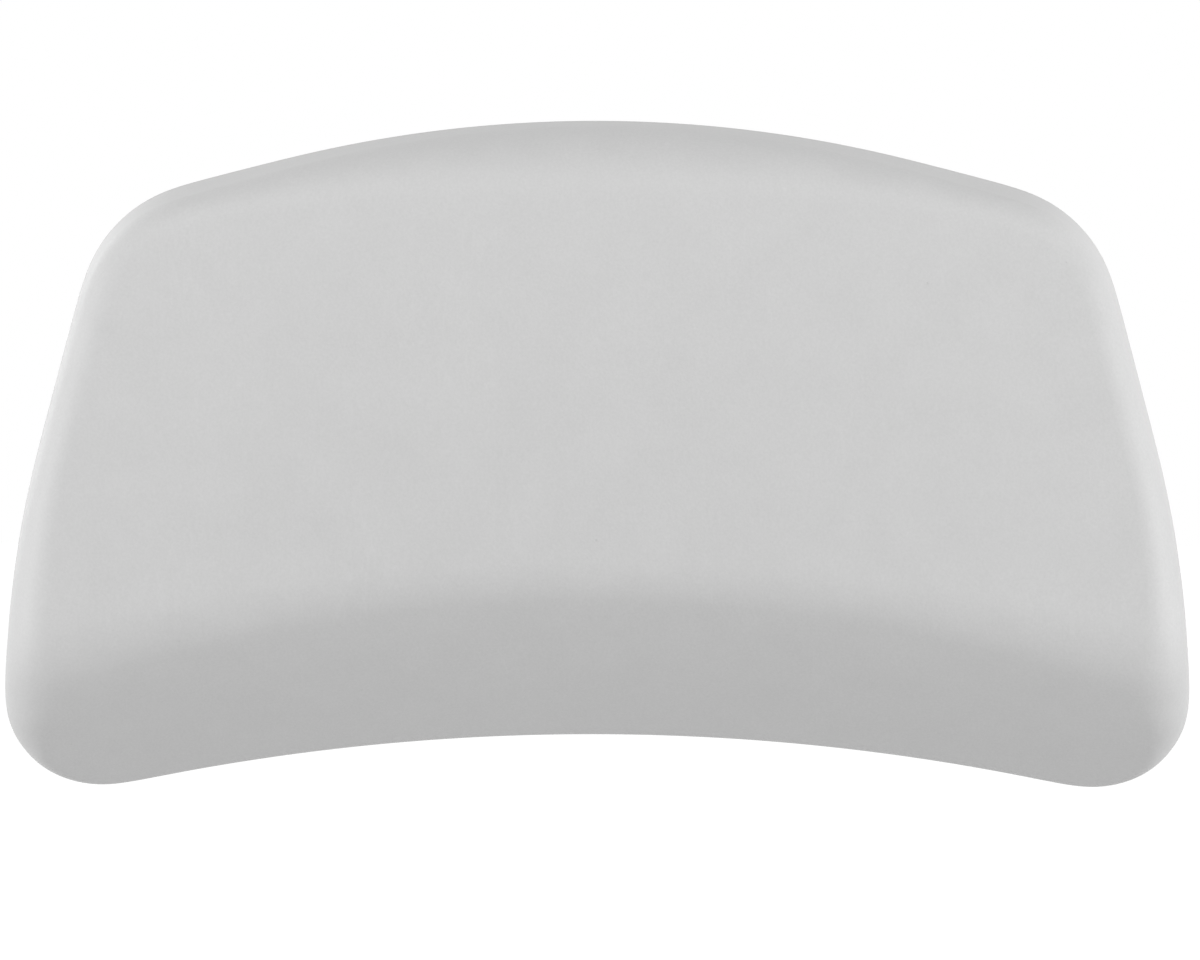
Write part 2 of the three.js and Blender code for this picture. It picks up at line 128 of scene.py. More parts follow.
def outlineStations(step):
    # the right half clockwise from the crown: crown arc, straight flank, shoulder arc, straight side,
    # hip arc, corner arc, hollow lower arc, each tangent to the next, and the left half as its mirror image
    p = pillow
    shoulder, corner = shoulderCentre(p["shoulderRadius"]), cornerCentre(p["cornerRadius"])
    taper, flank, hipEnd = p["sideTaper"], math.pi / 2 - p["flankSlope"], angleTo(hipCentre, corner)
    flankTop = polar(crownCentre, p["crownRadius"], flank)
    flankFoot = polar(shoulder, p["shoulderRadius"], flank)
    sideTop = polar(shoulder, p["shoulderRadius"], taper)
    sideFoot = polar(hipCentre, p["hipRadius"], taper)
    cornerEnd, archStart = angleTo(corner, archCentre), angleTo(archCentre, corner)
    shoulderStep, cornerStep = step * solving["shoulderStep"], step * solving["cornerStep"]
    right = np.vstack([
        arcStations(crownCentre, p["crownRadius"], math.pi / 2, flank, step),
        lineStations(flankTop, flankFoot, flank, step),
        arcStations(shoulder, p["shoulderRadius"], flank, taper, shoulderStep),
        lineStations(sideTop, sideFoot, taper, step),
        arcStations(hipCentre, p["hipRadius"], taper, hipEnd, step),
        arcStations(corner, p["cornerRadius"], hipEnd, cornerEnd, cornerStep),
        arcStations(archCentre, p["archRadius"], archStart, math.pi / 2, step, -1),
    ])
    bottom = np.array([[0, 0, 0, -1.0]])
    left = right[:0:-1] * np.array([-1, 1, -1, 1])
    return eased(np.vstack([right, bottom, left]), p["outlineEase"] / step)


def eased(stations, spread):
    # mean of the neighbouring stations, weighted by a bell curve, with the normals brought to unit length
    offsets = np.arange(-solving["easeStations"], solving["easeStations"] + 1)
    weights = np.exp(-(offsets / spread) ** 2 / 2)
    near = np.stack([np.roll(stations, i, axis=0) for i in offsets])
    mean = np.tensordot(weights / weights.sum(), near, axes=1)
    mean[:, 2:] /= np.linalg.norm(mean[:, 2:], axis=1, keepdims=True)
    return mean


def softMin(a, b, soft):
    # smaller of a and b, less a parabola where they come within soft of each other
    overlap = np.maximum(soft - np.abs(a - b), 0)
    return np.minimum(a, b) - overlap ** 2 / (4 * soft)


def smoothstep(v, low, high):
    # 3 t squared - 2 t cubed, with t running from 0 at low to 1 at high
    t = np.clip((v - low) / (high - low), 0, 1)
    return t * t * (3 - 2 * t)


def frontHeight(x, z):
    # lip: climb with the distance above the lower arc, swollen by a parabola and straight past the crest;
    # head rest: chord from crest to crown, plus a parabola of swell and wings that rise with x squared;
    # the two meet in a rounded crest, which droops and softens with x squared
    p = pillow
    out = (2 * x / p["width"]) ** 2
    rise = np.hypot(x, z - archCentre[1]) - p["archRadius"]
    crest = p["crestRise"] * (1 - p["crestDroop"] * out)
    climb, run = rise / crest, (rise - crest) / (p["centreHeight"] - crest)
    lip = p["edgeThickness"] + (p["crestThickness"] - p["edgeThickness"]) * climb
    bulge = 4 * p["lipSwell"] * np.minimum(climb, 1) * (1 - climb)
    chord = p["crestThickness"] + (p["topThickness"] - p["crestThickness"]) * run
    swell = 4 * p["faceCrown"] * run * (1 - run)
    soft = p["crestBlend"] * (1 + p["crestSoften"] * out)
    return softMin(lip + bulge, chord + swell + p["wingRise"] * run * out, soft)


def insetHeight(x, z, inset):
    # the front moved in square to itself: height less inset times the root of 1 + slope squared
    e = solving["nudge"]
    slopeX = (frontHeight(x + e, z) - frontHeight(x - e, z)) / (2 * e)
    slopeZ = (frontHeight(x, z + e) - frontHeight(x, z - e)) / (2 * e)
    return frontHeight(x, z) - inset * np.sqrt(1 + slopeX ** 2 + slopeZ ** 2)


def rollRadius(x, nz):
    # roll of the top turning smoothly into that of the side with the distance from the middle, then into
    # those of the hip and the lower edge with the way the edge faces
    p = pillow
    roll = p["topRoll"] + (p["sideRoll"] - p["topRoll"]) * smoothstep(np.abs(x), 0, p["sideReach"])
    roll = roll + (p["hipRoll"] - roll) * smoothstep(-nz, *p["hipSpan"])
    return roll + (p["lowerRoll"] - roll) * smoothstep(-nz, *p["lowerSpan"])


def edgeRings(stations, inset, backSteps, wallSteps, rollSteps, bead=(0, 1)):
    # sections square to the outline as (depth, height): back edge arc, drafted wall, roll arc; the roll's
    # centre is one radius from the wall and one radius under the front, found by halving the range of its
    # touching point's depth; bead = (height, width) of a bell curve where the back edge meets the wall, the
    # moulding's parting line
    p = pillow
    x, z, nx, nz = stations.T
    front = lambda d: insetHeight(x - d * nx, z - d * nz, inset)
    roll = rollRadius(x, nz) - inset
    backRadius = p["backEdge"] - inset
    wallAngle = math.pi - p["wallDraft"]
    wx, wh = math.cos(wallAngle), math.sin(wallAngle)
    foot = (p["backEdge"] + backRadius * wx, p["backEdge"] + backRadius * wh)

    def rollCentre(d):
        # centre of the roll that touches the front at depth d, its distance from the wall, and its tilt
        e = solving["nudge"]
        slope = (front(d + e) - front(d - e)) / (2 * e)
        length = np.hypot(1, slope)
        cd, ch = d + roll * slope / length, front(d) - roll / length
        return cd, ch, -(cd - foot[0]) * wx - (ch - foot[1]) * wh, np.arctan2(1, -slope)

    near, far = np.full(len(x), inset), np.full(len(x), inset + 3 * p["topRoll"])
    for _ in range(solving["halvings"]):
        middle = (near + far) / 2
        shallow = rollCentre(middle)[2] < roll
        near, far = np.where(shallow, middle, near), np.where(shallow, far, middle)
    cd, ch, _, tilt = rollCentre(far)
    t = 1 - (1 - np.linspace(0, 1, backSteps + 1)[:, None]) ** 2
    a = 1.5 * math.pi + (wallAngle - 1.5 * math.pi) * t
    back = [p["backEdge"] + backRadius * way(a) + 0 * x for way in (np.cos, np.sin)]
    a = wallAngle + (tilt - wallAngle) * np.linspace(0, 1, rollSteps + 1)[:, None]
    over = cd + roll * np.cos(a), ch + roll * np.sin(a)
    t = np.linspace(0, 1, wallSteps + 1)[1:-1, None] ** 2
    wall = [back[i][-1] * (1 - t) + over[i][0] * t for i in (0, 1)]
    d, h = (np.vstack([back[i], wall[i], over[i]]) for i in (0, 1))
    line = bead[0] * np.exp(-((h - foot[1]) / bead[1]) ** 2)
    d, h = d + line * wx, h + line * wh
    return np.stack([x - d * nx, h, z - d * nz], axis=2)


# where the spokes of the front meet, and how far in from the outline they turn towards it
spokes = dict(hub=(0.0, 0.088), bend=0.024)


def frontRings(stations, edge, inset, square, straight):
    # spokes lifted to the front's height: square in from the roll's upper edge to the bend, then straight
    # to the hub
    start, bend = edge[-1, :, ::2], stations[:, :2] - spokes["bend"] * stations[:, 2:]
    t, u = (np.linspace(0, 1, count + 1)[1:, None, None] for count in (square, straight))
    inward, onward = start + (bend - start) * t, bend + (np.array(spokes["hub"]) - bend) * u
    x, z = np.concatenate([inward, onward]).transpose(2, 0, 1)
    return np.stack([x, insetHeight(x, z, inset), z], axis=2)


def outlineRings(stations, section):
    # a section of (depth, height) carried along the outline, one ring for each of its points
    x, z, nx, nz = stations.T
    d, h = np.array(section).T[:, :, None]
    return np.stack([x - d * nx, h + 0 * x, z - d * nz], axis=2)


def hubRing(like, height):
    # a ring drawn together to the hub
    ring = np.empty_like(like[:1])
    ring[:] = (spokes["hub"][0], height, spokes["hub"][1])
    return ring


def roundClosed(grid):
    # a grid with its first column again at its end
    return np.concatenate([grid, grid[:, :1]], axis=1)


def filleted(corners, radii, steps=4):
    # a bent line of (a, b) points with an arc in each inner corner, whose centre lies on the bisector
    points = np.array(corners, float)
    out = [points[:1]]
    for before, at, after, radius in zip(points, points[1:], points[2:], radii):
        if radius == 0:
            out.append(at[None])
            continue
        u, v = (before - at) / math.dist(before, at), (after - at) / math.dist(after, at)
        half = math.acos(np.clip(u @ v, -1, 1)) / 2
        centre = at + (u + v) / np.linalg.norm(u + v) * radius / math.sin(half)
        start, end = at + u * radius / math.tan(half) - centre, at + v * radius / math.tan(half) - centre
        sweep, t = math.pi - 2 * half, np.linspace(0, 1, steps + 1)[:, None]
        out.append(centre + (np.sin((1 - t) * sweep) * start + np.sin(t * sweep) * end) / math.sin(sweep))
    return np.vstack([*out, points[-1:]])


def curve(a, b, c, steps):
    # quadratic curve from a to c, drawn towards b
    t = np.linspace(0, 1, steps + 1)[:, None]
    return np.array(a) * (1 - t) ** 2 + np.array(b) * 2 * t * (1 - t) + np.array(c) * t ** 2


def closedMesh(name, *patches, digits=7):
    # neighbouring rows and columns of each grid become quads, points equal to so many digits become one, a
    # quad with two equal corners becomes a triangle, and all faces are turned over if they enclose a
    # negative volume
    points, quads, start = [], [], 0
    for grid in patches:
        rows, columns = grid.shape[:2]
        i = start + np.arange(rows * columns).reshape(rows, columns)
        quads.append(np.stack([i[:-1, :-1], i[:-1, 1:], i[1:, 1:], i[1:, :-1]], axis=-1).reshape(-1, 4))
        points.append(grid.reshape(-1, 3))
        start += rows * columns
    points, where = np.unique(np.vstack(points).round(digits) + 0.0, axis=0, return_inverse=True)
    quads = where.ravel()[np.vstack(quads)]
    equal = quads == np.roll(quads, -1, axis=1)
    whole, pinched = quads[equal.sum(1) == 0], equal.sum(1) == 1
    tris = quads[pinched][~equal[pinched]].reshape(-1, 3)
    a, b, c = points[np.vstack([whole[:, :3], whole[:, [0, 2, 3]], tris])].transpose(1, 0, 2)
    if (np.cross(a, b) * c).sum() < 0:
        whole, tris = whole[:, ::-1], tris[:, ::-1]
    mesh = bpy.data.meshes.new(name)
    sizes = np.concatenate([np.full(len(whole), 4), np.full(len(tris), 3)])
    mesh.vertices.add(len(points))
    mesh.vertices.foreach_set("co", points.astype(np.float32).ravel())
    mesh.loops.add(int(sizes.sum()))
    mesh.loops.foreach_set("vertex_index", np.concatenate([whole.ravel(), tris.ravel()]).astype(np.int32))
    mesh.polygons.add(len(sizes))
    mesh.polygons.foreach_set("loop_start", (np.cumsum(sizes) - sizes).astype(np.int32))
    mesh.polygons.foreach_set("use_smooth", np.ones(len(sizes), bool))
    mesh.update(calc_edges=True)
    mesh.validate()
    obj = bpy.data.objects.new(name, mesh)
    scene.collection.objects.link(obj)
    return obj


def combine(obj, others, operation, weld=0.000001):
    # joins closed surfaces to obj, or cuts them out of it, and keeps only the mesh that results, with points
    # nearer than weld made one
    operands = bpy.data.collections.new("operands")
    for other in others:
        operands.objects.link(other)
    step = obj.modifiers.new("combine", "BOOLEAN")
    step.operation, step.solver = operation, "MANIFOLD"
    step.operand_type, step.collection = "COLLECTION", operands
    result = bpy.data.meshes.new_from_object(obj.evaluated_get(bpy.context.evaluated_depsgraph_get()))
    joined = bmesh.new()
    joined.from_mesh(result)
    bmesh.ops.remove_doubles(joined, verts=joined.verts, dist=weld)
    joined.to_mesh(result)
    joined.free()
    obj.modifiers.clear()
    obj.data = result
    for other in others:
        bpy.data.objects.remove(other)
    bpy.data.collections.remove(operands)


def place(obj, body, node, slot, material):
    # puts a finished piece on its body, in place of its CAD node
    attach(obj, body)
    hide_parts(node)
    obj.data.materials.clear()
    obj.data.materials.append(material)
    print(obj.name, len(obj.data.polygons), "faces")


# Materials

# noise detail and roughness, range of the mottling, where pits begin and end, and the scuffs' stretch, width
# of line, coarseness of their patches and the noise values between which a patch sets in
grainForm = dict(detail=3.0, roughness=0.6, mottleRange=(0.3, 0.7), pitRim=(0.01, 0.03),
                 stretch=(1.0, 1.0, 0.2), line=0.05, coarser=6.0, patch=(0.55, 0.7))


def addNode(tree, kind, values=None, **settings):
    # a shader node with its inputs set by name; an input given as another node's socket is linked instead
    node = tree.nodes.new("ShaderNode" + kind)
    for key, value in settings.items():
        setattr(node, key, value)
    for key, value in (values or {}).items():
        if isinstance(value, bpy.types.NodeSocket):
            tree.links.new(value, node.inputs[key])
        else:
            node.inputs[key].default_value = value
    return node


def mathNode(tree, operation, *values):
    # result of one operation on numbers or sockets
    return addNode(tree, "Math", dict(enumerate(values)), operation=operation).outputs[0]


def buildGrainGroup():
    # grain and mottling are noises, pits are the points of a sparse cell pattern, and scuffs are thin lines
    # where a noise drawn out along z crosses its middle value, in patches; Tone = 1 + each one's share of
    # colour, where the pits' share darkens them as painted shade in the pits, and Relief = the sum of their
    # depths in metres
    g = grainForm
    group = bpy.data.node_groups.new("mouldGrain", "ShaderNodeTree")
    group.interface.new_socket("Place", in_out="INPUT", socket_type="NodeSocketVector")
    for layer in ("Grain", "Mottle", "Pit", "Scuff"):
        for value in ("Size", "Tone", "Depth"):
            group.interface.new_socket(layer + " " + value, in_out="INPUT", socket_type="NodeSocketFloat")
    for name in ("Tone", "Relief", "Mottle"):
        group.interface.new_socket(name, in_out="OUTPUT", socket_type="NodeSocketFloat")
    given = group.nodes.new("NodeGroupInput").outputs
    result = group.nodes.new("NodeGroupOutput").inputs

    def noise(place, layer, detail, coarser=1.0):
        # a noise at the layer's own size, or so much coarser
        scale = mathNode(group, "DIVIDE", 1.0 / coarser, given[layer + " Size"])
        values = {"Vector": place, "Scale": scale, "Detail": detail, "Roughness": g["roughness"]}
        return addNode(group, "TexNoise", values).outputs[0]

    def ramp(value, low, high, start, end):
        # a smooth change from start to end while the value runs from low to high
        values = {"Value": value, "From Min": low, "From Max": high, "To Min": start, "To Max": end}
        return addNode(group, "MapRange", values, interpolation_type="SMOOTHSTEP").outputs[0]

    place = given["Place"]
    mottle = noise(place, "Mottle", g["detail"])
    apart = mathNode(group, "DIVIDE", 1.0, given["Pit Size"])
    cells = addNode(group, "TexVoronoi", {"Vector": place, "Scale": apart})
    drawn = addNode(group, "VectorMath", {0: place, 1: g["stretch"]}, operation="MULTIPLY").outputs[0]
    crossing = mathNode(group, "ABSOLUTE", mathNode(group, "SUBTRACT", noise(drawn, "Scuff", 1.0), 0.5))
    patch = ramp(noise(place, "Scuff", 0.0, g["coarser"]), *g["patch"], 0.0, 1.0)
    layers = dict(Grain=mathNode(group, "SUBTRACT", noise(place, "Grain", g["detail"]), 0.5),
                  Mottle=mathNode(group, "SUBTRACT", mottle, 0.5),
                  # the pits are sunk by their depth and darkened in colour: painted shade in the pits
                  Pit=ramp(cells.outputs["Distance"], *g["pitRim"], -1.0, 0.0),
                  Scuff=mathNode(group, "MULTIPLY", ramp(crossing, 0.0, g["line"], 1.0, 0.0), patch))
    for output, value, total in (("Tone", "Tone", 1.0), ("Relief", "Depth", 0.0)):
        for name, layer in layers.items():
            total = mathNode(group, "MULTIPLY_ADD", layer, given[name + " " + value], total)
        group.links.new(total, result[output])
    group.links.new(mottle, result["Mottle"])
    return group


grainGroup = buildGrainGroup()


def mouldedMaterial(name, colour, roughness, grain, mottle, pit, scuff, **fixed):
    # colour times the grain's tone, roughness between two values with the mottling, and a bump from its
    # relief; grain, mottle, pit and scuff each hold a size, a share of colour and a depth, where the pit's
    # share of colour is painted shade in the pits
    material = bpy.data.materials.new(name)
    material.use_nodes = True
    tree = material.node_tree
    shader = tree.nodes["Principled BSDF"]
    surface = tree.nodes.new("ShaderNodeGroup")
    surface.node_tree = grainGroup
    tree.links.new(addNode(tree, "TexCoord").outputs["Object"], surface.inputs["Place"])
    for layer, values in (("Grain", grain), ("Mottle", mottle), ("Pit", pit), ("Scuff", scuff)):
        for key, value in zip(("Size", "Tone", "Depth"), values):
            surface.inputs[layer + " " + key].default_value = value
    tone = addNode(tree, "VectorMath", {0: colour, "Scale": surface.outputs["Tone"]}, operation="SCALE")
    low, high = grainForm["mottleRange"]
    gloss = addNode(tree, "MapRange", {"Value": surface.outputs["Mottle"], "From Min": low, "From Max": high,
                                       "To Min": roughness[0], "To Max": roughness[1]})
    bump = addNode(tree, "Bump", {"Height": surface.outputs["Relief"], "Distance": 1.0})
    tree.links.new(tone.outputs[0], shader.inputs["Base Color"])
    tree.links.new(gloss.outputs[0], shader.inputs["Roughness"])
    tree.links.new(bump.outputs[0], shader.inputs["Normal"])
    for key, value in fixed.items():
        shader.inputs[key].default_value = value
    return material


# the pit tones below darken the pits: painted shade, strongest in the open foam cells
skinMatt = mouldedMaterial(
    "skinMatt", colour=(0.60, 0.60, 0.60), roughness=(0.52, 0.60), grain=(0.0007, 0.14, 0.00003),
    mottle=(0.014, 0.08, 0.00004), pit=(0.016, 0.06, 0.00006), scuff=(0.004, 0.013, 0.0))
plateGrey = mouldedMaterial(
    "plateGrey", colour=(0.34, 0.345, 0.355), roughness=(0.40, 0.50), grain=(0.0004, 0.10, 0.00002),
    mottle=(0.014, 0.06, 0.00002), pit=(0.012, 0.05, 0.00003), scuff=(0.003, 0.025, -0.000004))
capNatural = mouldedMaterial(
    "capNatural", colour=(0.72, 0.71, 0.67), roughness=(0.38, 0.46), grain=(0.0005, 0.04, 0.00001),
    mottle=(0.005, 0.08, 0.00002), pit=(0.006, 0.05, 0.00003), scuff=(0.002, 0.03, -0.00001))
cupVinyl = mouldedMaterial(
    "cupVinyl", colour=(0.86, 0.90, 0.93), roughness=(0.14, 0.26), grain=(0.0004, 0.03, 0.000004),
    mottle=(0.004, 0.05, 0.00001), pit=(0.005, 0.10, 0.00002), scuff=(0.002, 0.02, -0.000004),
    **{"Transmission Weight": 0.9, "IOR": 1.53})
foamOpen = mouldedMaterial(
    "foamOpen", colour=(0.66, 0.65, 0.61), roughness=(0.90, 0.98), grain=(0.0006, 0.40, 0.0003),
    mottle=(0.006, 0.10, 0.0002), pit=(0.002, 0.50, 0.0006), scuff=(0.002, 0.0, 0.0))
print("materials done")


# Skin

skinPiece = dict(step=0.0019, edge=(10, 14, 22), front=(10, 72), innerEdge=(3, 3, 6), innerFront=(4, 20),
                 bead=(0.00012, 0.0003), flangeRound=0.0005, support=0.001)


def buildSkin():
    # one closed shell: outside from the hub over the front, wall and back edge to the flange, then the
    # inside back to the hub
    s, p = skinPiece, pillow
    stations = outlineStations(s["step"])
    edge = edgeRings(stations, 0, *s["edge"], s["bead"])
    flange = filleted([(p["backEdge"] + s["support"], 0), (p["flange"], 0), (p["flange"], p["skin"])],
                      [s["flangeRound"]])
    outside = [outlineRings(stations, flange[::-1]), edge, frontRings(stations, edge, 0, *s["front"])]
    inEdge = edgeRings(stations, p["skin"], *s["innerEdge"])
    inside = [inEdge, frontRings(stations, inEdge, p["skin"], *s["innerFront"])]
    grid = np.concatenate([np.concatenate(outside)[::-1], *inside])
    return closedMesh("pillow_skin", roundClosed(toFrame(grid)))


skin = buildSkin()
place(skin, "pillow", "skin", "skin", skinMatt)


# Plate in the back, with its four seats

seats = {joint["child"]: (joint["pos_m"][0], joint["pos_m"][2] + midHeight) for joint in frame["joints"]}
plateThick = 0.0025
plateBase = pillow["skin"] + pillow["fitGap"]  # the tongue lies behind the flange of the skin
platePiece = dict(thick=plateThick, tongue=0.008, base=plateBase, top=plateBase + plateThick,
                  inset=pillow["flange"] + pillow["fitGap"], step=0.0025, crossSteps=44, panelRings=5,
                  seatRadius=0.022, seatDepth=0.005, seatOuter=0.0245, seatBack=0.0075, neckHole=0.0043,
                  bossRadius=0.010, bossWall=0.0018, bossTop=0.0145,
                  ribWidth=0.0018, ribHeight=0.005, ribRound=0.6, anchorRadius=0.0025, anchors=8,
                  rimRound=0.0015, floorRound=0.0025, smallRound=0.0004, edgeRound=0.0006,
                  support=0.002, lap=0.0001)


def quarterLoops(stations, inset):
    # loops round the four seats: each runs along its quarter of the outline, drawn in by inset, then along
    # the cross of the centre line and a level line half way between the upper and the lower seats
    edge = stations[:, :2] - inset * stations[:, 2:]
    right = edge[:len(edge) // 2 + 1]
    level = (seats["cup_upper_right"][1] + seats["cup_lower_right"][1]) / 2
    k = np.abs(stations[:len(right) - 1, 1] - level).argmin()
    cross = np.array([0, right[k, 1]])
    along = lambda a, b: a + (b - a) * np.linspace(0, 1, platePiece["crossSteps"] + 1)[1:, None]
    upper = np.vstack([right[:k + 1], along(right[k], cross), along(cross, right[0])])
    lower = np.vstack([right[k:], along(right[-1], cross), along(cross, right[k])])
    mirrored = lambda loop: loop[::-1] * np.array([-1, 1])
    return dict(cup_upper_right=upper, cup_lower_right=lower, cup_upper_left=mirrored(upper),
                cup_lower_left=mirrored(lower))


def seatProfile():
    # (radius, height) from the back face over the rim, cone and floor of a seat and down its neck hole, then
    # up and over the boss and out along the far side of the seat to its outer wall
    s = platePiece
    bore, small = s["bossRadius"] - s["bossWall"], s["smallRound"]
    corners = [(s["seatRadius"] + s["support"], 0), (s["seatRadius"], 0),
               (s["seatRadius"] - s["seatDepth"] / 2, s["seatDepth"]), (s["neckHole"], s["seatDepth"]),
               (s["neckHole"], s["seatBack"]), (bore, s["seatBack"]), (bore, s["bossTop"]),
               (s["bossRadius"], s["bossTop"]), (s["bossRadius"], s["seatBack"]),
               (s["seatOuter"], s["seatBack"]), (s["seatOuter"], s["thick"]),
               (s["seatOuter"] + s["lap"], s["thick"])]
    return filleted(corners, [s["rimRound"], s["floorRound"]] + [small] * 7 + [0])


def turnedGrid(centre, radius, height, turn):
    # (x, height, z) with x and z at a radius and a turn round the centre
    x, z = polar(centre, radius, turn)
    return np.stack([x, height + 0 * turn, z], axis=2)


def plateQuarter(backLoop, frontLoop, seat):
    # rows from the loop on the back face straight in to the seat, through its profile turned about the
    # seat's axis, and straight out again to the loop on the front face; columns follow the loops
    turn = np.arctan2(backLoop[:, 1] - seat[1], backLoop[:, 0] - seat[0])
    radius, height = seatProfile().T[:, :, None]
    turned = turnedGrid(seat, radius, height, turn)
    raised = lambda loop, h: np.stack([loop[:, 0], np.full(len(loop), h), loop[:, 1]], axis=1)
    t = np.linspace(0, 1, platePiece["panelRings"] + 1)[:-1, None, None]
    inward = raised(backLoop, 0) * (1 - t) + turned[0] * t
    outward = raised(frontLoop, platePiece["thick"]) * (1 - t[::-1]) + turned[-1] * t[::-1]
    return np.concatenate([inward, turned, outward])


def bar(a, b, width, low, high, draft=0.0002):
    # a straight rib between two points: a section with a rounded top carried from one end to the other, and
    # closed by fans
    a, b = np.array(a), np.array(b)
    ahead = (b - a) / math.dist(a, b)
    half = width / 2
    topRound = half * platePiece["ribRound"]
    corners = [(0, low), (half, low), (half - draft, high), (draft - half, high), (-half, low), (0, low)]
    across, height = filleted(corners, [0, topRound, topRound, 0]).T
    aside = np.stack([-ahead[1] * across, height, ahead[0] * across], axis=1)
    ends = [aside + np.array([xz[0], 0, xz[1]]) for xz in (a, b)]
    middles = [np.broadcast_to([xz[0], (low + high) / 2, xz[1]], ends[0].shape) for xz in (a, b)]
    return closedMesh("bar", toFrame(np.stack([middles[0], *ends, middles[1]])))


def turnedMesh(name, centre, profile, steps):
    # a profile of (radius, height) that starts and ends on its axis, turned about a centre
    turn = np.linspace(0, 2 * math.pi, steps + 1)
    radius, height = np.array(profile).T[:, :, None]
    return closedMesh(name, toFrame(turnedGrid(centre, radius, height, turn)))


def peg(centre, radius, low, high, steps=40):
    # a plain round post
    return turnedMesh("peg", centre, [(0, low), (radius, low), (radius, high), (0, high)], steps)


def anchorPoints(stations):
    # equal steps along the outline drawn in to the middle of the tongue
    path = stations[:, :2] - (pillow["flange"] - platePiece["tongue"] / 2) * stations[:, 2:]
    path = np.vstack([path, path[:1]])
    length = np.concatenate([[0], np.cumsum(np.linalg.norm(np.diff(path, axis=0), axis=1))])
    at = np.arange(platePiece["anchors"]) / platePiece["anchors"] * length[-1]
    return np.stack([np.interp(at, length, path[:, i]) for i in (0, 1)], axis=1)


def ribEnds():
    # each rib runs from the outer wall of one seat to that of the next
    order = ("upper_left", "upper_right", "lower_right", "lower_left")
    ring = [np.array(seats["cup_" + key]) for key in order]
    for a, b in zip(ring, ring[1:] + ring[:1]):
        step = (b - a) / math.dist(a, b) * (platePiece["seatOuter"] - platePiece["thick"] / 2)
        yield a + step, b - step


def buildPlate():
    # four quarters and the stepped edge that joins them, with ribs added and anchor holes cut
    s = platePiece
    stations = outlineStations(s["step"])
    backInset, frontInset = s["inset"] + s["support"], s["inset"] + s["thick"]
    outer = pillow["flange"] - s["tongue"]
    backLoops, frontLoops = quarterLoops(stations, backInset), quarterLoops(stations, frontInset)
    quarters = [plateQuarter(backLoops[key], frontLoops[key], seats[key]) for key in seats]
    section = filleted([(backInset, 0), (s["inset"], 0), (s["inset"], s["base"]), (outer, s["base"]),
                        (outer, s["top"]), (frontInset, s["top"]), (frontInset, s["thick"])],
                       [s["edgeRound"], s["smallRound"], s["edgeRound"], s["edgeRound"], s["smallRound"]])
    rim = roundClosed(outlineRings(stations, section)[:, ::-1])
    plate = closedMesh("back_plate_moulded", *(toFrame(grid) for grid in (*quarters, rim)))
    low = s["thick"] - pillow["fitGap"]
    combine(plate, [bar(a, b, s["ribWidth"], low, low + s["ribHeight"]) for a, b in ribEnds()], "UNION")
    holes = [peg(at, s["anchorRadius"], 0, 2 * s["top"]) for at in anchorPoints(stations)]
    combine(plate, holes, "DIFFERENCE")
    plate.data.set_sharp_from_angle(angle=sharpAngle)
    return plate


plate = buildPlate()
place(plate, "pillow", "back_plate", "plate", plateGrey)


# Caps on the bosses

capPiece = dict(thick=0.0018, spigot=0.0015, smallRound=0.0003, steps=72)
capBase = platePiece["bossTop"] + pillow["fitGap"]
capTop = capBase + capPiece["thick"]


def buildCap(key):
    # a disc on the rim of a boss, with a ring that reaches down inside it
    s = platePiece
    ring = s["bossRadius"] - s["bossWall"] - pillow["fitGap"]
    foot, hollow = s["bossTop"] - capPiece["spigot"], ring - s["bossWall"]
    corners = [(0, capBase), (hollow, capBase), (hollow, foot), (ring, foot), (ring, capBase),
               (s["bossRadius"], capBase), (s["bossRadius"], capTop), (0, capTop)]
    profile = filleted(corners, [capPiece["smallRound"]] * 6)
    name = key.replace("cup", "socket_cap") + "_moulded"
    cap = turnedMesh(name, seats[key], profile, capPiece["steps"])
    cap.data.set_sharp_from_angle(angle=sharpAngle)
    return cap


for key in seats:
    place(buildCap(key), "pillow", key.replace("cup", "socket_cap"), "cap", capNatural)


# Foam inside the skin

foamPiece = dict(step=0.003, edge=(4, 6, 8), front=(5, 36), keySlack=0.0003, below=-0.001,
                 seatSteps=96, bossSteps=64)


def buildFoam():
    # the pillow drawn in by the skin, with pockets for the plate, its seats, bosses and ribs, and keys in
    # the plate's holes
    f, s, gap = foamPiece, platePiece, pillow["fitGap"]
    inset, low = pillow["skin"] + gap, f["below"]
    stations = outlineStations(f["step"])
    edge = edgeRings(stations, inset, *f["edge"])
    grid = np.concatenate([hubRing(edge, inset), edge, frontRings(stations, edge, inset, *f["front"])])
    foam = closedMesh("foam_core_moulded", roundClosed(toFrame(grid)))
    outer = pillow["flange"] - s["tongue"] - gap
    wall = outlineRings(stations, [(outer, low), (outer, s["top"] + gap)])
    grid = np.concatenate([hubRing(wall, low), wall, hubRing(wall, s["top"] + gap)])
    cutters = [closedMesh("pocket", roundClosed(toFrame(grid)))]
    for seat in seats.values():
        cutters.append(peg(seat, s["seatOuter"] + gap, low, s["seatBack"] + gap, f["seatSteps"]))
        cutters.append(peg(seat, s["bossRadius"] + gap, low, capTop + gap, f["bossSteps"]))
    for a, b in ribEnds():
        cutters.append(bar(a, b, s["ribWidth"] + 2 * gap, s["thick"] - gap, s["thick"] + s["ribHeight"]))
    combine(foam, cutters, "DIFFERENCE")
    keyRadius, keyTop = s["anchorRadius"] - f["keySlack"], s["top"] + s["thick"]
    combine(foam, [peg(at, keyRadius, s["base"], keyTop) for at in anchorPoints(stations)], "UNION")
    foam.data.set_sharp_from_angle(angle=sharpAngle)
    return foam


foam = buildFoam()
place(foam, "pillow", "foam_core", "foam", foamOpen)


# Suction cups

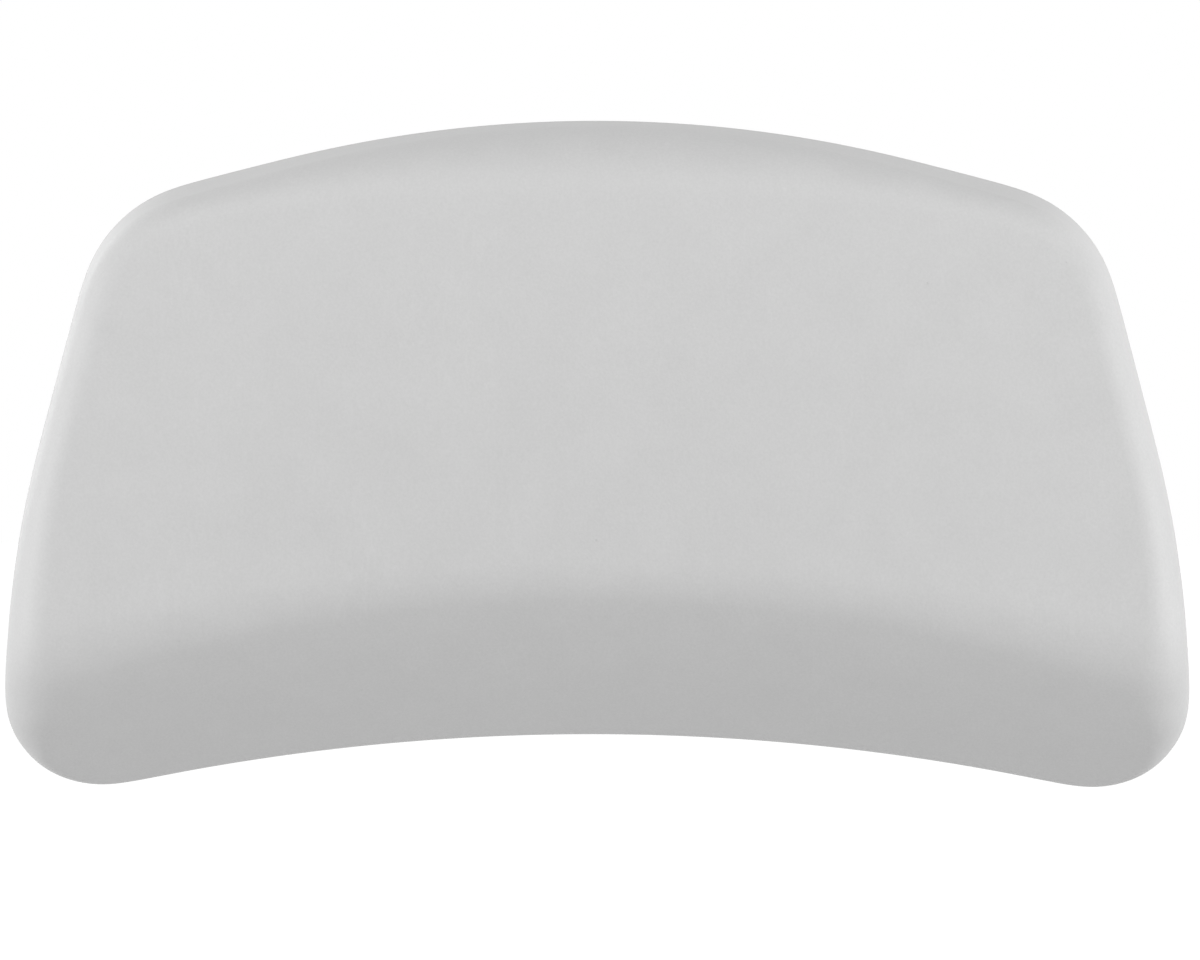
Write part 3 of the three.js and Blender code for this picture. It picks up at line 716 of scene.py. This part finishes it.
cupPiece = dict(lip=0.019, lipWidth=0.0025, lipThick=0.001, hub=0.0075, hubThick=0.0035, hubBevel=0.0004,
                neck=0.004, head=0.0062, headRim=0.001, headLength=0.0045, headTip=0.003,
                bellFullness=0.62, bellShoulder=0.72, bellFoot=0.001,
                tabReach=0.007, tabWidth=0.009, tabSoft=0.0008, tabHalfTurn=20,
                headRounds=(0.0004, 0.0005, 0.0004, 0.0003, 0.0005, 0.001),
                curveSteps=14, tabSteps=80, lipSteps=128, rimSteps=6, sheetSteps=3)


def cupOutline(turn):
    # lip circle or pull tab, whichever reaches further from the axis, with a soft change between them: the
    # tab has straight sides and a round end, and points down
    c = cupPiece
    half, end = c["tabWidth"] / 2, c["lip"] + c["tabReach"] - c["tabWidth"] / 2
    off = np.abs((turn + 1.5 * math.pi) % (2 * math.pi) - math.pi)
    tip = end * np.cos(off) + np.sqrt(np.maximum(half ** 2 - (end * np.sin(off)) ** 2, 0))
    sides = half / np.sin(np.clip(off, 1e-6, math.pi / 2))
    tab = np.where(off < math.atan2(half, end), tip, sides)
    return -softMin(np.full_like(tab, -c["lip"]), -tab, c["tabSoft"])


def buildCup(key):
    # a profile of (radius, height) turned about the cup's axis, with the edge of the lip carried out along
    # the tab, where the columns lie closer
    c = cupPiece
    base, hubTop = -pillow["standoff"], platePiece["seatDepth"] - pillow["fitGap"]
    headBase = platePiece["seatBack"] + pillow["fitGap"]
    inner, ceiling = c["lip"] - c["lipWidth"], hubTop - c["hubThick"]
    start, end = -90 - c["tabHalfTurn"], -90 + c["tabHalfTurn"]
    tabTurn = np.linspace(start, end, c["tabSteps"] + 1)
    lipTurn = np.linspace(end, start + 360, c["lipSteps"] + 1)
    turn = np.radians(np.concatenate([tabTurn, lipTurn[1:]]))
    reach = cupOutline(turn)
    hollow = curve((0, ceiling), (inner * c["bellFullness"], ceiling), (inner, base), c["curveSteps"])
    bell = curve((c["lip"] - c["bellFoot"], base + c["lipThick"]),
                 (inner * c["bellShoulder"], hubTop - c["hubThick"] / 2), (c["hub"], hubTop - c["lipThick"]),
                 c["curveSteps"])
    headTop = headBase + c["headLength"]
    head = filleted([bell[-1], (c["hub"] - c["hubBevel"], hubTop), (c["neck"], hubTop),
                     (c["neck"], headBase), (c["head"], headBase), (c["head"], headBase + c["headRim"]),
                     (c["headTip"], headTop), (0, headTop)], c["headRounds"])
    fixed = lambda line: np.stack([line[:, :1] + 0 * turn, line[:, 1:] + 0 * turn], axis=2)
    edge = c["lipThick"] / 2
    t = np.linspace(0, 1, c["sheetSteps"] + 1)[1:-1, None]
    under = np.stack([inner + (reach - edge - inner) * t, base + 0 * turn * t], axis=2)
    over = np.stack([(reach - edge) * (1 - t) + bell[0, 0] * t, base + c["lipThick"] + 0 * turn * t], axis=2)
    a = np.linspace(0, math.pi, c["rimSteps"] + 1)[:, None]
    rim = np.stack([reach - edge + edge * np.sin(a), base + edge - edge * np.cos(a) + 0 * turn], axis=2)
    r, h = np.concatenate([fixed(hollow), under, rim, over, fixed(bell), fixed(head[1:])]).transpose(2, 0, 1)
    return closedMesh("suction_" + key + "_moulded", toFrame(turnedGrid(seats[key], r, h, turn)))


for key in seats:
    place(buildCup(key), key, "suction_" + key, "cup", cupVinyl)

print("cups done")


# Floor, camera and light

floorPiece = dict(height=-0.5, half=4.0, colour=0.75, near=0.51, far=0.70, fade=(0.3, 1.6))


def lookingRays(tree):
    # 1 for a ray by which the camera, a reflection or clear vinyl looks, and 0 for one that carries light
    path = addNode(tree, "LightPath").outputs
    looks = mathNode(tree, "MAXIMUM", path["Is Camera Ray"], path["Is Glossy Ray"])
    return mathNode(tree, "MAXIMUM", looks, path["Is Transmission Ray"])


def buildFloor():
    # a level sheet; to the eye it also glows a little, more with distance, so that it runs into the
    # background, and from below it is clear
    f = floorPiece
    half, height = f["half"], f["height"]
    corners = [(-half, -half, height), (half, -half, height), (half, half, height), (-half, half, height)]
    mesh = bpy.data.meshes.new("floor")
    mesh.from_pydata(corners, [], [(0, 1, 2, 3)])
    floor = bpy.data.objects.new("floor", mesh)
    scene.collection.objects.link(floor)
    material = bpy.data.materials.new("floorPale")
    material.use_nodes = True
    tree = material.node_tree
    tree.nodes.remove(tree.nodes["Principled BSDF"])
    away = addNode(tree, "VectorMath", {0: addNode(tree, "TexCoord").outputs["Object"]}, operation="LENGTH")
    glow = addNode(tree, "MapRange", {"Value": away.outputs["Value"], "From Min": f["fade"][0],
                                      "From Max": f["fade"][1], "To Min": f["near"], "To Max": f["far"]},
                   interpolation_type="SMOOTHSTEP")
    seen = mathNode(tree, "MULTIPLY", glow.outputs[0], lookingRays(tree))
    diffuse = addNode(tree, "BsdfDiffuse", {"Color": (f["colour"], f["colour"], f["colour"], 1)})
    shine = addNode(tree, "Emission", {"Color": (1, 1, 1, 1), "Strength": seen})
    both = addNode(tree, "AddShader", {0: diffuse.outputs[0], 1: shine.outputs[0]})
    below = addNode(tree, "NewGeometry").outputs["Backfacing"]
    clear = addNode(tree, "BsdfTransparent")
    sheet = addNode(tree, "MixShader", {0: below, 1: both.outputs[0], 2: clear.outputs[0]})
    tree.links.new(sheet.outputs[0], tree.nodes["Material Output"].inputs[0])
    mesh.materials.append(material)


buildFloor()

# square to the front and a little above it, with a long lens; across is the width of the picture at the aim
view = dict(distance=1.3, elevation=math.radians(6), roll=math.radians(0.15), across=0.3177,
            aim=(0.0006, -0.030, -0.0044), sensor=36, clip=20)


def buildCamera():
    # place = aim + distance times the direction back to it; lens = sensor times distance over the width seen
    data = bpy.data.cameras.new("camera")
    camera = bpy.data.objects.new("camera", data)
    scene.collection.objects.link(camera)
    back = Vector((0, -math.cos(view["elevation"]), math.sin(view["elevation"])))
    camera.location = Vector(view["aim"]) + view["distance"] * back
    turn = (-back).to_track_quat("-Z", "Y") @ Quaternion((0, 0, 1), view["roll"])
    camera.rotation_euler = turn.to_euler()
    data.sensor_width = view["sensor"]
    data.lens = view["sensor"] * view["distance"] / view["across"]
    data.clip_end = view["clip"]
    scene.camera = camera


buildCamera()

# each lamp: turn from the camera's side, height angle, distance, size and strength, where 1 lights a face
# fully
light = dict(ambient=0.475, lamps=dict(
    front=(0, 43.6, 1.0, 0.6, 0.345),
    left=(-68.4, 0, 0.7, 0.35, 0.350), right=(68.4, 0, 0.7, 0.35, 0.383),
    rearLeft=(-130, 16, 1.2, 0.6, 0.177), rearRight=(130, 16, 1.2, 0.6, 0.070)))


def areaLamp(name, turn, rise, distance, size, strength):
    # direction = (sin turn cos rise, -cos turn cos rise, sin rise); power = strength times the squares of pi
    # and the distance
    turn, rise = math.radians(turn), math.radians(rise)
    towards = Vector((math.sin(turn) * math.cos(rise), -math.cos(turn) * math.cos(rise), math.sin(rise)))
    data = bpy.data.lights.new(name, "AREA")
    data.shape = "SQUARE"
    data.size = size
    data.energy = strength * math.pi ** 2 * distance ** 2
    lamp = bpy.data.objects.new(name, data)
    lamp.location = towards * distance
    lamp.rotation_euler = towards.to_track_quat("Z", "Y").to_euler()
    lamp.visible_camera = False
    scene.collection.objects.link(lamp)


for name, values in light["lamps"].items():
    areaLamp(name + "Lamp", *values)


def buildWorld():
    # an even soft light from all round, which is white where the camera, a reflection or clear vinyl sees it
    world = bpy.data.worlds.new("studio")
    scene.world = world
    world.use_nodes = True
    tree = world.node_tree
    tree.nodes.clear()
    lit = addNode(tree, "Background", {"Color": (1, 1, 1, 1), "Strength": light["ambient"]})
    white = addNode(tree, "Background", {"Color": (1, 1, 1, 1), "Strength": 1.0})
    mix = addNode(tree, "MixShader", {0: lookingRays(tree), 1: lit.outputs[0], 2: white.outputs[0]})
    tree.links.new(mix.outputs[0], addNode(tree, "OutputWorld").inputs[0])


buildWorld()
scene.view_settings.view_transform = "Standard"
print("floor, camera and light done")
